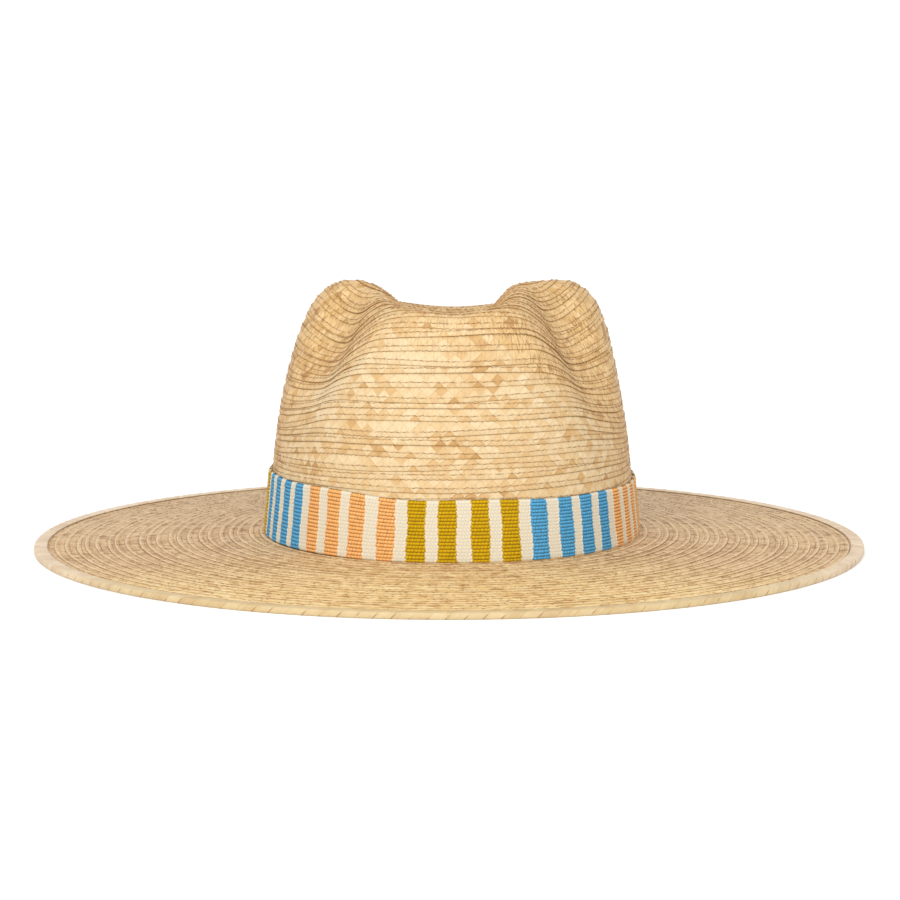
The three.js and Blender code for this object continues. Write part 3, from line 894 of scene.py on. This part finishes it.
leaf_fibres = fibre_group()
palm_strands = strand_group(leaf_fibres)
stitch_pucker = stitch_group()
print("shader groups:", leaf_fibres.name, palm_strands.name, stitch_pucker.name)

# %% [markdown]
# Two plait materials. Palm leaf dries to a pale cream, with some leaves yellow, tan or brown where the
# sun reached them. The crown's front is made of the palest leaf, and a mask that narrows upwards with
# the nose picks it out. Its sides, its back and the hollows of the pinches are tanner, and there short
# steep streaks show where the strips bend over the edge of the row below. The brim's coarser leaf has
# level splinters, dark and light. The brim's front is paler, partly from its leaf and partly as painted
# light, because that part is lit most strongly. The dark line under each free edge is partly the leaf's
# tan edge and partly painted shade, and it fades in places; just above it the brim has a painted
# highlight. The colour gets a little painted shade towards the back. Leaf is a little glossy along its
# fibres, never shiny. The two finishes differ only in their numbers, so one function makes both.

# %% Plait materials
PALE_MIDDLE = -5.5 * MM
# The pale colour serves both the painted highlight above each brim row's free edge and the light
# splinters of the leaf.
SHADOW_COLOUR, HIGHLIGHT_AND_SPLINTER_COLOUR = linear(128, 84, 44), linear(226, 204, 166)


def shades(*colours, places=(0.00, 0.40, 0.66, 0.84, 1.00)):
    """Stops of a palette: screen colours at the given places, from the palest leaf to the darkest."""
    return [(place, linear(*colour)) for place, colour in zip(places, colours)]


NOSE_LEAVES = shades((218, 196, 158), (212, 188, 146), (208, 178, 131), (199, 163, 111), (182, 141, 88))
CROWN_LEAVES = shades((216, 184, 134), (210, 176, 123), (204, 167, 111), (194, 153, 95), (172, 130, 77))
# The brim's front palette is paler than the rest: partly the leaf's own colour, partly painted light
# where the front of the brim is lit most strongly.
NEAR_LEAVES_AND_PAINTED_LIGHT = shades((236, 212, 158), (229, 201, 145), (222, 190, 130), (209, 172, 110), (184, 144, 90))
BRIM_LEAVES = shades((220, 190, 146), (210, 177, 131), (198, 163, 115), (182, 145, 99), (153, 116, 76))


def front_mask(pen, axes):
    """1 on the pale leaf of the nose, 0 elsewhere: broad above the band, narrow and mixed at the top."""
    off_middle = pen.size(pen.minus(axes[0], PALE_MIDDLE))
    half_width = pen.ramp(axes[2], 0.050, 0.112, 0.084, 0.030)
    inside = pen.ramp(pen.minus(off_middle, half_width), -0.012, 0.004, 1.0, 0.0)
    in_front = pen.ramp(axes[1], -0.060, -0.030, 1.0, 0.0)
    return pen.times(inside, pen.times(in_front, pen.ramp(axes[2], 0.085, 0.120, 1.0, 0.45)))


def near_mask(pen, axes):
    """1 on the front part of the brim, 0 from its sides backwards."""
    return pen.ramp(axes[1], -0.165, -0.055, 1.0, 0.0)


def plait_material(name, leaves, front_leaves, mask, seed, streaks, splinters, grain, highlight_depth, rim,
                   rim_fading):
    """Palm plait: leaf colours from a palette by strip, then darkened or lightened mark by mark.

    streaks gives the depth of the steep streaks away from the front and on it, splinters that of the
    level ones, grain that of the fibres and highlight_depth that of the painted highlight above the free
    edge;
    rim is the width of the dark line at the free edge, partly the leaf's tan edge and partly painted
    shade, and rim_fading how much of it fades in places. The colour also gets painted shade towards the
    back."""
    material, pen, shader, along, across = new_material(name, "plait_map")
    pattern = pen.group(palm_strands, Along=along, Across=across, Seed=seed)
    thread = pen.group(stitch_pucker, Along=along, Across=across, Rim=rim)
    place, axes = object_place(pen)
    # Painted shade: the colour is darkened towards the back, down to 0.88 at the back.
    front, painted_back_shade = mask(pen, axes), pen.ramp(axes[1], -0.02, 0.13, 1.0, 0.88)
    patch = pen.times(pen.minus(pen.noise(place, 30.0, 3.0, 0.55), 0.5), 0.7)
    value = pen.plus(pen.choose(0.35, pattern["Leaf"], pattern["Cell"]), patch, clamp=True)
    colour = pen.mix(front, pen.palette(value, leaves), pen.palette(value, front_leaves))
    tone = pen.plus(1.0 - grain / 2, pen.times(pattern["Streak"], grain))
    colour = pen.shade(colour, pen.times(tone, painted_back_shade))
    steep = pen.streaks(along, across, 1250.0, 210.0)
    level = pen.streaks(along, across, 110.0, 2300.0, 3.0, 0.7)
    # This noise breaks up the dark free-edge line, which is partly painted shade, so that it fades in
    # places.
    line_strength = pen.ramp(pen.noise(place, 260.0), 0.40, 0.60, 1.0 - rim_fading, 1.0)
    marks = [
        (pen.ramp(steep, 0.51, 0.59), pen.choose(front, *streaks), SHADOW_COLOUR),
        (pen.ramp(level, 0.54, 0.66), splinters, SHADOW_COLOUR),
        (pen.ramp(level, 0.46, 0.34), splinters, HIGHLIGHT_AND_SPLINTER_COLOUR),
        # Painted highlight on the leaf just above each free edge.
        (thread["Highlight"], pen.choose(front, highlight_depth, 0.35 * highlight_depth), HIGHLIGHT_AND_SPLINTER_COLOUR),
        (pattern["Gap"], 0.16, SHADOW_COLOUR),
        # Painted shade in the dip beside the stitches.
        (thread["Pucker"], 0.35, SHADOW_COLOUR),
        # Dark line at the free edge: partly the leaf's tan edge, partly painted shade under it.
        (pen.times(thread["Edge"], line_strength), 0.72, SHADOW_COLOUR),
    ]
    for mark, depth, tint in marks:
        colour = pen.mix(pen.times(mark, depth), colour, tint)
    roughness = pen.ramp(pattern["Streak"], 0.2, 0.8, 0.62, 0.50)
    relief = pen.minus(pattern["Height"], pen.times(thread["Pucker"], 1.2))
    finish_shader(pen, shader, colour, roughness, 0.30, relief, 0.6, 0.20 * MM)
    return material


crown_leaf = plait_material(
    "palm_plait_crown_leaf", CROWN_LEAVES, NOSE_LEAVES, front_mask, seed=1.0, streaks=(0.50, 0.10),
    splinters=0.10, grain=0.24, highlight_depth=0.0, rim=0.27 * MM, rim_fading=0.45)
brim_leaf = plait_material(
    "palm_plait_brim_leaf", BRIM_LEAVES, NEAR_LEAVES_AND_PAINTED_LIGHT, near_mask, seed=7.0, streaks=(0.58, 0.10),
    splinters=0.40, grain=0.34, highlight_depth=0.50, rim=0.50 * MM, rim_fading=0.50)

thread_material, pen, shader, _, _ = new_material("palm_thread")
twisted = pen.noise(object_place(pen)[0], 900.0, 2.0, 0.6)
thread_shades = shades((116, 78, 42), (164, 118, 70), places=(0.25, 0.75))
pen.feed(shader.inputs["Base Color"], pen.palette(twisted, thread_shades))
shader.inputs["Roughness"].default_value = 0.7
print("plait materials ready")

# %% [markdown]
# The binding's leaf. One broad pale strip, so no crossing strands: only fibres that run with the wound
# strip, a faint change of tone from lap to lap, and a darker line where each lap ends. That line is
# strong on the lower half of the rim, where laps end in a small step, and nearly gone above.

# %% Binding material
SIDE_STRIP = shades((222, 203, 176), (209, 187, 158), (190, 163, 128), places=(0.20, 0.50, 0.80))
FRONT_STRIP = shades((207, 186, 144), (196, 172, 127), (180, 149, 102), places=(0.20, 0.50, 0.80))
LAP_COLOUR = linear(146, 100, 54)


def binding_material():
    """Pale strip: fibres along the winding, a dark line at each lap, one tone for each lap."""
    material, pen, shader, along, around = new_material("palm_binding_strip", "plait_map")
    slanted = pen.plus(pen.divided(along, LAP_PITCH), pen.times(around, LAP_SLANT / OUTSIDE_LENGTH))
    tone = pen.random(pen.whole(slanted), 3.0)
    crosswise = pen.times(slanted, LAP_PITCH)
    fibres = pen.group(leaf_fibres, Lengthwise=along, Crosswise=crosswise, Leaf=tone)["Streak"]
    place, axes = object_place(pen)
    value = pen.weighed(tone, 0.22, pen.noise(place, 110.0, 3.0, 0.6), 0.78)
    near = near_mask(pen, axes)
    colour = pen.mix(near, pen.palette(value, SIDE_STRIP), pen.palette(value, FRONT_STRIP))
    colour = pen.shade(colour, pen.plus(0.76, pen.times(fibres, 0.48)))
    line = pen.ramp(pen.rest(slanted), 0.03, 0.15, 1.0, 0.0)
    line_strength = pen.ramp(pen.noise(place, 190.0), 0.42, 0.56, 0.25, 0.90)
    low_side = pen.ramp(around, 0.50 * OUTSIDE_LENGTH, 0.62 * OUTSIDE_LENGTH, 1.0, 0.16)
    colour = pen.mix(pen.times(line, pen.times(line_strength, low_side)), colour, LAP_COLOUR)
    finish_shader(pen, shader, colour, 0.55, 0.50, fibres, 0.5, 0.15 * MM)
    return material


palm_strip = binding_material()
print("binding material ready")

# %% [markdown]
# The band's cotton. The same rule that raised the ribs says where a stripe is, so colour and relief
# agree: both read the same named values. The colour goes in groups of four stripes. Between ribs and
# between passes the colour is darkened as painted shade, and the rib crests are lightened as painted
# highlight; along a rib the yarn is twisted. The cream ground is a fine basket weave of off-white yarn,
# with painted shade in the dips of the weave.

# %% Striped cotton material
BLUE, PEACH, MUSTARD = linear(73, 139, 178), linear(208, 151, 92), linear(172, 136, 8)
CREAM, WHITE_YARN = linear(214, 205, 184), linear(228, 221, 205)
STRIPES_OF_A_COLOUR = 4.0
PASS_LENGTH, PASS_SLANT = 1.55 * MM, 1100.0


def striped_cotton_material():
    """Cotton webbing: stripes by distance along the band, ribs by height, twist and basket weave."""
    material, pen, shader, along, height = new_material("striped_cotton_yarn", "plait_map")
    rib = pen.whole(pen.divided(height, RIB_PITCH))
    stripe = pen.whole(pen.plus(pen.divided(pen.minus(along, STRIPE_START), STRIPE_PITCH), 0.5))
    middle = pen.plus(pen.times(stripe, STRIPE_PITCH), STRIPE_START)
    middle = pen.plus(middle, pen.times(pen.sine(pen.times(stripe, DRIFT_TURN)), STRIPE_DRIFT))
    slow = pen.sine(pen.weighed(height, SLOW_TURN, stripe, SLOW_STEP))
    quick = pen.sine(pen.weighed(rib, RIB_TURN, stripe, RIB_STEP))
    ridge = pen.size(pen.sine(pen.times(height, math.pi / RIB_PITCH)))
    half = STRIPE_WIDTH / 2 - EDGE_SLIM
    for wave, reach in ((slow, SLOW_WANDER), (quick, RIB_WANDER), (ridge, RIB_TIP)):
        half = pen.plus(half, pen.times(wave, reach))
    inside = pen.minus(half, pen.size(pen.minus(along, middle)))
    dyed = pen.ramp(inside, -0.08 * MM, 0.12 * MM)

    family = pen.whole(pen.divided(pen.plus(stripe, 0.5), STRIPES_OF_A_COLOUR))
    family = pen.reckon("FLOORED_MODULO", family, 3.0)
    colour = pen.mix(pen.reckon("GREATER_THAN", family, 0.5), MUSTARD, BLUE)
    colour = pen.mix(pen.reckon("GREATER_THAN", family, 1.5), colour, PEACH)

    slanted = pen.weighed(rib, math.pi, height, PASS_SLANT)
    passes = pen.plus(pen.times(along, 2 * math.pi / PASS_LENGTH), slanted)
    over = pen.plus(0.5, pen.times(pen.sine(passes), 0.5))
    knots = pen.size(pen.sine(pen.times(passes, 0.5)))
    # Painted light: the tone darkens the colour between the ribs and between the passes as painted shade,
    # and its start of 1.33 lightens the rib crests as painted highlight; twist and yarn are the yarn's
    # own streaks.
    between_ribs = pen.times(pen.ramp(ridge, 0.10, 0.75, 1.0, 0.0), pen.plus(0.38, pen.times(over, 0.62)))
    dark = pen.plus(between_ribs, pen.ramp(knots, 0.0, 0.60, 0.42, 0.0))
    twist = pen.sine(pen.weighed(along, 7800.0, height, 3600.0))
    yarn = pen.noise(pen.vector(pen.times(along, 900.0), pen.times(rib, 7.3), stripe), 1.0)
    tone = pen.plus(pen.minus(1.33, dark), pen.times(twist, 0.05))
    tone = pen.plus(tone, pen.times(pen.minus(yarn, 0.5), 0.80))

    basket = pen.times(pen.reckon("POWER", knots, 0.5), pen.reckon("POWER", ridge, 0.5))
    # The ground is darker in the dips of its basket weave: painted shade.
    ground = pen.shade(CREAM, pen.plus(0.83, pen.times(basket, 0.17)))
    lip = pen.times(pen.ramp(inside, -0.8 * MM, -0.2 * MM), ridge)
    ground = pen.mix(pen.times(lip, 0.5), ground, WHITE_YARN)
    relief = pen.choose(dyed, pen.times(basket, 0.7), pen.plus(ridge, pen.times(twist, 0.25)))
    colour = pen.mix(dyed, ground, pen.shade(colour, tone))
    finish_shader(pen, shader, colour, 0.85, 0.15, relief, 0.7, 0.25 * MM)
    return material


striped_cotton = striped_cotton_material()
print("cotton ready")

# %% [markdown]
# Last, each piece gets its material and rides on the hat's one body, and the solids it replaces are
# hidden; the list also gives the finish each piece stands for.

# %% Dress the pieces and finish
pieces = [
    (crown_plait, crown_leaf, "palm_plait_crown", ("crown_side", "crown_top")),
    (crown_stitches, thread_material, "palm_plait_crown", ()),
    (brim_plait, brim_leaf, "palm_plait_brim", ("brim",)),
    (brim_stitches, thread_material, "palm_plait_brim", ()),
    (edge_strip, palm_strip, "palm_strip", ("edge_binding",)),
    (striped_band, striped_cotton, "striped_cotton", ("hatband",)),
]
for piece, material, slot, solids in pieces:
    piece.data.materials.append(material)
    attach(piece, "root")
    if solids:
        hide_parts(*solids)
